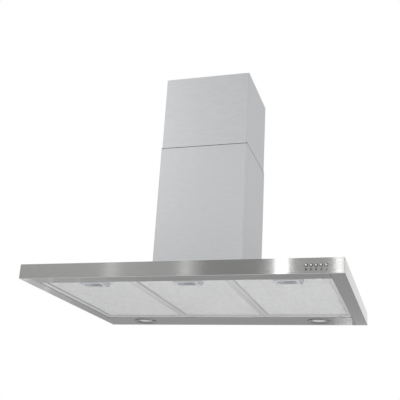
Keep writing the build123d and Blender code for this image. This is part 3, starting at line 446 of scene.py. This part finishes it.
def flat_ring(name, inner, outer, made):
    """A frame of four walls between two boxes that share their lower and upper levels."""
    # Four corners each: lower inner, lower outer, upper inner and upper outer
    verts, faces = [], []
    for z in (inner[0][2], inner[1][2]):
        for low, high in (inner, outer):
            verts += [(low[0], low[1], z), (high[0], low[1], z), (high[0], high[1], z), (low[0], high[1], z)]
    for n in range(4):
        after = (n + 1) % 4
        faces.append((n, after, 4 + after, 4 + n))
        faces.append((12 + n, 12 + after, 8 + after, 8 + n))
        faces.append((n, 8 + n, 8 + after, after))
        faces.append((4 + n, 4 + after, 12 + after, 12 + n))
    return mesh_object(name, verts, faces, made)


# Dark strip between the chimney covers, as painted shadow along the seam
upper_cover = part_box("upper_chimney_cover")
lower_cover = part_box("lower_chimney_cover")
cover_top = lower_cover[1][2]
strip_levels = (cover_top - STRIP_BELOW, cover_top + STRIP_ABOVE)
inner = grown(upper_cover, STRIP_GAP, strip_levels)
outer = grown(lower_cover, -COVER_SHEET - STRIP_GAP, strip_levels)
seam_shade = flat_ring("cover_seam_shade_strip", inner, outer, finishes["black plastic"])
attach(seam_shade, "hood")

# The strip stands higher at the covers' sides
for side, x_span in (("left", (outer[0][0], inner[0][0])), ("right", (inner[1][0], outer[1][0]))):
    lip = block_object(
        f"cover_seam_shade_lip_{side}",
        (x_span[0], outer[0][1], strip_levels[1]),
        (x_span[1], outer[1][1], strip_levels[1] + SIDE_LIP),
        finishes["black plastic"],
    )
    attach(lip, "hood")


def mark_bars(number):
    """Bars of a button's mark, as middle and half sizes: a lamp, off, then one to three bars."""
    thin = MARK_LINE / 2
    if number == 1:
        return [(0, thin, MARK_HALF, MARK_HALF - thin), (0, -MARK_HALF, MARK_HALF / 2, thin)]
    bars = []
    if number == 2:
        for side in (-1, 1):
            bars.append((side * (MARK_HALF - thin), 0, thin, MARK_HALF))
            bars.append((0, side * (MARK_HALF - thin), MARK_HALF - MARK_LINE, thin))
        return bars
    speed = number - 2
    share = MARK_HALF / speed
    for n in range(speed):
        tall = MARK_HALF * (n + 4 - speed) / 3
        bars.append(((2 * n + 1 - speed) * share, tall - MARK_HALF, share * MARK_FILL, tall))
    return bars


# Ink marks on the front face
front_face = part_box("front_fascia")[0][1] - MARK_LIFT
for number in BUTTONS:
    low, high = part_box(f"button_{number}")
    x = (low[0] + high[0]) / 2
    z = (low[2] + high[2]) / 2 - MARK_DROP
    verts, faces = [], []
    for across, up, half_x, half_z in mark_bars(number):
        first = len(verts)
        verts += [(x + across + sx * half_x, front_face, z + up + sz * half_z) for sx, sz in CORNERS]
        faces.append((first, first + 1, first + 2, first + 3))
    mark = mesh_object(f"button_mark_{number}", verts, faces, finishes["mark ink"])
    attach(mark, "hood")

# Floor, which shows from above only
floor_finish = principled("floor", FLOOR_COLOR, 0.0, STUDIO_ROUGHNESS)
one_sided(floor_finish)
floor = mesh_object(
    "floor",
    [(x * FLOOR_HALF, y * FLOOR_HALF, FLOOR_LEVEL) for x, y in CORNERS],
    [(0, 1, 2, 3)],
    floor_finish,
)


def softbox(name, place, aim, width, height, glow):
    """An area light at a place, facing a point, with its brightness as a share of white."""
    lamp = bpy.data.lights.new(name, "AREA")
    lamp.shape = "RECTANGLE"
    lamp.size = width
    lamp.size_y = height
    lamp.energy = glow * pi * width * height
    made_object = bpy.data.objects.new(name, lamp)
    bpy.context.scene.collection.objects.link(made_object)
    made_object.location = place
    toward = Vector(aim) - Vector(place)
    made_object.rotation_euler = toward.to_track_quat("-Z", "Y").to_euler()
    made_object.visible_camera = False


def light_row(name, steps, start, aim, width, height, glow, change):
    """Area lights side by side along X, each changed in brightness from the one before."""
    for step in range(steps):
        place = (start[0] + width * step, start[1], start[2])
        softbox(f"{name} {step}", place, aim, width, height, glow + change * step)


softbox("key", place=(-2.4, -3.6, 1.9), aim=(0, 0, -0.3), width=1.8, height=1.8, glow=1.0)
softbox("edge", place=(3.4, -1.3, 0.6), aim=(0, 0, -0.4), width=1.6, height=2.6, glow=0.35)
for name, (x, width, glow) in BANDS.items():
    softbox(name, (x, BAND_Y, BAND_Z), (x, 0, BAND_Z), width, BAND_HEIGHT, glow)
softbox("under", place=(0, -0.45, -1.5), aim=(0, -0.1, -0.7), width=2.6, height=1.5, glow=1.3)
softbox("low right", place=(1.9, -0.3, -1.3), aim=(0, 0, -0.7), width=0.7, height=0.7, glow=4.5)

# Low lights behind the hood, for the left end of the front strip and the rear right corner
light_row(
    "strip glow",
    steps=5,
    start=(-2.55, 3.0, -1.55),
    aim=(-0.4, -0.33, -0.71),
    width=0.24,
    height=0.12,
    glow=1.15,
    change=-0.23,
)
light_row(
    "corner glint",
    steps=4,
    start=(0.045, 3.0, -1.1),
    aim=(0.4, 0.28, -0.71),
    width=0.03,
    height=0.1,
    glow=1.2,
    change=0.7,
)

# A grey card behind the camera that the front face reflects
card_x, card_y, card_z = CARD_MIDDLE
card = mesh_object(
    "card",
    [(card_x + x * CARD_HALF_WIDTH, card_y, card_z + z * CARD_HALF_HEIGHT) for x, z in CORNERS],
    [(0, 1, 2, 3)],
    principled("card", CARD_COLOR, 0.0, STUDIO_ROUGHNESS),
)
card.visible_camera = False


def white_room(forward):
    """A white background for the camera, and a soft grey room that is brighter behind the object."""
    world = bpy.data.worlds.new("studio")
    bpy.context.scene.world = world
    world.use_nodes = True
    tree = world.node_tree
    room = tree.nodes["Background"]
    room.inputs["Strength"].default_value = 1.0
    backdrop = tree.nodes.new("ShaderNodeBackground")
    backdrop.inputs["Color"].default_value = (1, 1, 1, 1)
    backdrop.inputs["Strength"].default_value = 1.0
    direction = tree.nodes.new("ShaderNodeTexCoord")
    toward = tree.nodes.new("ShaderNodeVectorMath")
    toward.operation = "DOT_PRODUCT"
    toward.inputs[1].default_value = forward
    ramp = tree.nodes.new("ShaderNodeMapRange")
    ramp.inputs["From Min"].default_value = cos(radians(BACKDROP_EDGE))
    ramp.inputs["From Max"].default_value = cos(radians(BACKDROP_FULL))
    ramp.inputs["To Min"].default_value = ROOM_GLOW
    ramp.inputs["To Max"].default_value = 1.0
    rays = tree.nodes.new("ShaderNodeLightPath")
    choose = tree.nodes.new("ShaderNodeMixShader")
    tree.links.new(direction.outputs["Generated"], toward.inputs[0])
    tree.links.new(toward.outputs["Value"], ramp.inputs["Value"])
    tree.links.new(ramp.outputs["Result"], room.inputs["Color"])
    tree.links.new(rays.outputs["Is Camera Ray"], choose.inputs["Fac"])
    tree.links.new(room.outputs["Background"], choose.inputs[1])
    tree.links.new(backdrop.outputs["Background"], choose.inputs[2])
    tree.links.new(choose.outputs["Shader"], tree.nodes["World Output"].inputs["Surface"])


turn = (
    Matrix.Rotation(radians(CAMERA_YAW), 3, "Z")
    @ Matrix.Rotation(radians(CAMERA_PITCH), 3, "X")
    @ Matrix.Rotation(radians(CAMERA_ROLL), 3, "Y")
)
white_room(turn @ Vector((0, 1, 0)))

lens = bpy.data.cameras.new("camera")
lens.lens = CAMERA_LENS
lens.sensor_width = SENSOR_WIDTH
camera = bpy.data.objects.new("camera", lens)
bpy.context.scene.collection.objects.link(camera)
camera.matrix_world = Matrix.Translation(CAMERA_PLACE) @ turn.to_4x4() @ Matrix.Rotation(radians(90), 4, "X")
bpy.context.scene.camera = camera
bpy.context.scene.view_settings.view_transform = "Standard"
